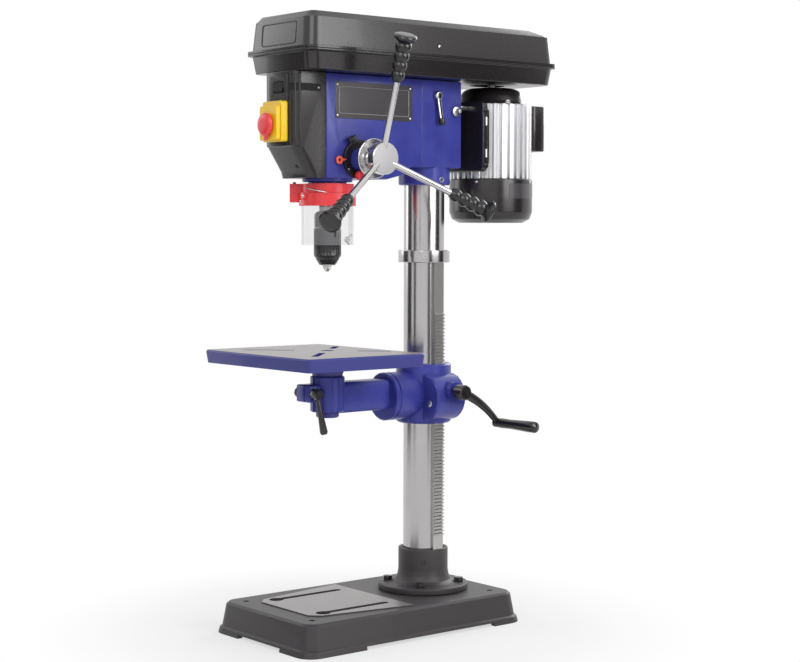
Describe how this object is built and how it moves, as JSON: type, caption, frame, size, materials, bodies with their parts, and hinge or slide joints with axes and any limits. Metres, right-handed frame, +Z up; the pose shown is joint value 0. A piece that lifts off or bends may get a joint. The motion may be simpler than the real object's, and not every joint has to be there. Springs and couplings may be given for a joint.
{
  "type": "drill press",
  "caption": "Bench drill press: cast base, round column with rack-lift tilting table, belt-drive head with three-spoke feed, guarded chuck and finned motor.",
  "frame": {"origin": "where the spindle axis meets the machined work surface of the base", "axes": "+Z up along the spindle, +X to the operator's right (feed handle side), -Y to the front, column axis at +Y"},
  "size_m": [0.3658, 0.6403, 1.068],
  "materials": {
    "cast_dark": "dark paint over cast iron",
    "blue_paint": "semi-gloss blue enamel over cast iron",
    "black_plastic": "fine grained moulded plastic",
    "black_grip": "gloss phenolic",
    "black_rubber": "moulded rubber",
    "chrome": "ground and plated",
    "steel": "turned steel",
    "aluminium": "die cast",
    "red_plastic": "gloss moulding",
    "yellow_plastic": "satin moulding",
    "green_plastic": "satin moulding",
    "clear_plastic": "clear polycarbonate"
  },
  "bodies": {
    "stand": {"base": "cast_dark", "column_flange": "cast_dark", "column": "chrome", "rack_collar": "chrome", "head_casting": "blue_paint", "front_cover": "black_plastic", "switch_box": "yellow_plastic", "spring_cap": "black_plastic", "guard_collar": "red_plastic", "belt_pan": "black_plastic", "front_belt": "black_rubber", "back_belt": "black_rubber"},
    "rack": {"rack": "steel"},
    "bracket": {"table_bracket": "blue_paint"},
    "lift_gear": {"lift_gear": "steel"},
    "crank": {"crank": "black_plastic"},
    "crank_grip": {"crank_grip": "black_grip"},
    "column_lock": {"column_lock_lever": "black_plastic"},
    "arm": {"table_arm": "blue_paint", "tilt_bolt": "steel"},
    "table": {"table": "blue_paint"},
    "table_lock": {"table_lock_lever": "black_plastic"},
    "quill": {"quill": "steel", "spindle_bearing": "steel"},
    "spindle": {"spindle": "steel", "chuck_body": "black_plastic"},
    "chuck_sleeve": {"chuck_sleeve": "black_plastic"},
    "jaw_1": {"chuck_jaw_1": "steel"},
    "jaw_2": {"chuck_jaw_2": "steel"},
    "jaw_3": {"chuck_jaw_3": "steel"},
    "feed": {"pinion_shaft": "steel", "feed_hub": "chrome", "feed_spoke_1": "chrome", "feed_spoke_2": "chrome", "feed_spoke_3": "chrome", "feed_grip_1": "black_grip", "feed_grip_2": "black_grip", "feed_grip_3": "black_grip"},
    "depth": {"depth_ring": "black_plastic"},
    "depth_knob": {"depth_lock_knob": "black_plastic"},
    "quill_lock": {"quill_lock_knob": "red_plastic"},
    "spindle_pulley": {"spindle_pulley": "aluminium"},
    "idler_pulley": {"idler_pulley": "aluminium"},
    "motor_mount": {"motor_bracket": "black_plastic", "slide_rod_left": "chrome", "slide_rod_right": "chrome", "motor_case": "aluminium", "fan_cover": "black_plastic", "terminal_box": "black_plastic"},
    "motor_rotor": {"motor_rotor": "steel", "motor_pulley": "aluminium"},
    "tension_lever": {"tension_lever": "chrome"},
    "slide_lock": {"slide_lock_screw": "steel"},
    "lid": {"belt_lid": "black_plastic"},
    "flap": {"switch_flap": "yellow_plastic"},
    "stop_knob": {"stop_knob": "red_plastic"},
    "start_button": {"start_button": "green_plastic"},
    "lamp_rocker": {"lamp_rocker": "black_plastic"},
    "guard": {"guard_drum": "red_plastic"},
    "shield": {"chuck_shield": "clear_plastic"}
  },
  "joints": [
    {"name": "table_swing", "type": "hinge", "parent": "stand", "child": "rack", "pos_m": [0, 0.217, 0.34], "axis": [0, 0, 1], "range_deg": [-180, 180]},
    {"name": "table_lift", "type": "slide", "parent": "rack", "child": "bracket", "axis": [0, 0, 1], "range_m": [-0.225, 0.13]},
    {"name": "lift_gear_turn", "type": "hinge", "parent": "bracket", "child": "lift_gear", "pos_m": [0.0566, 0.217, 0.34], "axis": [0, 1, 0], "continuous": true},
    {"name": "crank_turn", "type": "hinge", "parent": "bracket", "child": "crank", "pos_m": [0.0485, 0.217, 0.3623], "axis": [1, 0, 0], "continuous": true},
    {"name": "crank_grip_spin", "type": "hinge", "parent": "crank", "child": "crank_grip", "pos_m": [0.1153, 0.30014, 0.30321], "axis": [1, 0, 0], "continuous": true},
    {"name": "column_lock_turn", "type": "hinge", "parent": "bracket", "child": "column_lock", "pos_m": [-0.0153, 0.277, 0.352], "axis": [-1, 0, 0], "range_deg": [-40, 0]},
    {"name": "arm_tilt", "type": "hinge", "parent": "bracket", "child": "arm", "pos_m": [0, 0.132, 0.3523], "axis": [0, 1, 0], "range_deg": [-45, 45]},
    {"name": "table_turn", "type": "hinge", "parent": "arm", "child": "table", "pos_m": [0, 0, 0.3523], "axis": [0, 0, 1], "range_deg": [-90, 90]},
    {"name": "table_lock_turn", "type": "hinge", "parent": "arm", "child": "table_lock", "pos_m": [0.0163, -0.04, 0.367], "axis": [1, 0, 0], "range_deg": [-60, 20]},
    {"name": "quill_feed", "type": "slide", "parent": "stand", "child": "quill", "axis": [0, 0, 1], "range_m": [-0.08, 0], "stiffness_N_per_m": 250, "springref_m": 0.3},
    {"name": "feed_turn", "type": "hinge", "parent": "stand", "child": "feed", "pos_m": [0.047, 0.0301, 0.769], "axis": [1, 0, 0], "range_deg": [0, 416.8]},
    {"name": "spindle_spin", "type": "hinge", "parent": "quill", "child": "spindle", "pos_m": [0, 0, 0.65], "axis": [0, 0, 1], "continuous": true},
    {"name": "sleeve_turn", "type": "hinge", "parent": "spindle", "child": "chuck_sleeve", "pos_m": [0, 0, 0.62], "axis": [0, 0, 1], "range_deg": [0, 1800]},
    {"name": "jaw_1_slide", "type": "slide", "parent": "spindle", "child": "jaw_1", "axis": [0, 0.2588, 0.9659], "range_m": [0, 0.023]},
    {"name": "jaw_2_slide", "type": "slide", "parent": "spindle", "child": "jaw_2", "axis": [-0.2241, -0.1294, 0.9659], "range_m": [0, 0.023]},
    {"name": "jaw_3_slide", "type": "slide", "parent": "spindle", "child": "jaw_3", "axis": [0.2241, -0.1294, 0.9659], "range_m": [0, 0.023]},
    {"name": "depth_ring_turn", "type": "hinge", "parent": "stand", "child": "depth", "pos_m": [0.047, 0.0301, 0.769], "axis": [1, 0, 0], "range_deg": [-180, 60]},
    {"name": "depth_knob_turn", "type": "hinge", "parent": "depth", "child": "depth_knob", "pos_m": [0.057, 0.0132, 0.79827], "axis": [0, -0.5, 0.866], "range_deg": [-90, 0]},
    {"name": "quill_lock_turn", "type": "hinge", "parent": "stand", "child": "quill_lock", "pos_m": [0.0543, 0.0231, 0.741], "axis": [1, 0, 0], "range_deg": [-180, 0]},
    {"name": "motor_spin", "type": "hinge", "parent": "motor_mount", "child": "motor_rotor", "pos_m": [0, 0.378, 0.8], "axis": [0, 0, 1], "continuous": true},
    {"name": "idler_spin", "type": "hinge", "parent": "stand", "child": "idler_pulley", "pos_m": [0, 0.182, 0.95], "axis": [0, 0, 1], "continuous": true},
    {"name": "spindle_pulley_spin", "type": "hinge", "parent": "stand", "child": "spindle_pulley", "pos_m": [0, 0, 0.95], "axis": [0, 0, 1], "continuous": true},
    {"name": "motor_slide", "type": "slide", "parent": "stand", "child": "motor_mount", "axis": [0, 1, 0], "range_m": [-0.012, 0.003], "deforming": ["back_belt"]},
    {"name": "tension_lever_turn", "type": "hinge", "parent": "stand", "child": "tension_lever", "pos_m": [0.0473, 0.206, 0.8865], "axis": [1, 0, 0], "range_deg": [-30, 15]},
    {"name": "slide_lock_turn", "type": "hinge", "parent": "stand", "child": "slide_lock", "pos_m": [0.0473, 0.249, 0.86], "axis": [1, 0, 0], "range_deg": [-90, 0]},
    {"name": "lid_hinge", "type": "hinge", "parent": "stand", "child": "lid", "pos_m": [-0.098, 0.217, 0.94865], "axis": [0, -1, 0], "range_deg": [0, 100]},
    {"name": "flap_hinge", "type": "hinge", "parent": "stand", "child": "flap", "pos_m": [0, -0.1166, 0.856], "axis": [-1, 0, 0], "range_deg": [0, 90]},
    {"name": "stop_push", "type": "slide", "parent": "flap", "child": "stop_knob", "axis": [0, 1, 0], "range_m": [0, 0.002], "stiffness_N_per_m": 900},
    {"name": "start_push", "type": "slide", "parent": "stand", "child": "start_button", "axis": [0, 1, 0], "range_m": [0, 0.002], "stiffness_N_per_m": 600},
    {"name": "lamp_rock", "type": "hinge", "parent": "stand", "child": "lamp_rocker", "pos_m": [0, -0.1015, 0.8875], "axis": [1, 0, 0], "range_deg": [-6, 6]},
    {"name": "guard_swing", "type": "hinge", "parent": "stand", "child": "guard", "pos_m": [-0.03587, -0.0443, 0.7], "axis": [0, 0, -1], "range_deg": [0, 110]},
    {"name": "shield_slide", "type": "slide", "parent": "guard", "child": "shield", "axis": [0, 0, 1], "range_m": [-0.015, 0]}
  ],
  "couplings": [
    {"joint": "lift_gear_turn", "follows": "table_lift", "rad_per_m": -83.333},
    {"joint": "crank_turn", "follows": "table_lift", "rad_per_m": -1000},
    {"joint": "feed_turn", "follows": "quill_feed", "rad_per_m": -90.909},
    {"joint": "sleeve_turn", "follows": "jaw_1_slide", "rad_per_m": 1365},
    {"joint": "jaw_2_slide", "follows": "jaw_1_slide", "ratio": 1},
    {"joint": "jaw_3_slide", "follows": "jaw_1_slide", "ratio": 1},
    {"joint": "idler_spin", "follows": "motor_spin", "ratio": 1.0455},
    {"joint": "spindle_pulley_spin", "follows": "motor_spin", "ratio": 1.7608},
    {"joint": "spindle_spin", "follows": "motor_spin", "ratio": 1.7608}
  ]
}
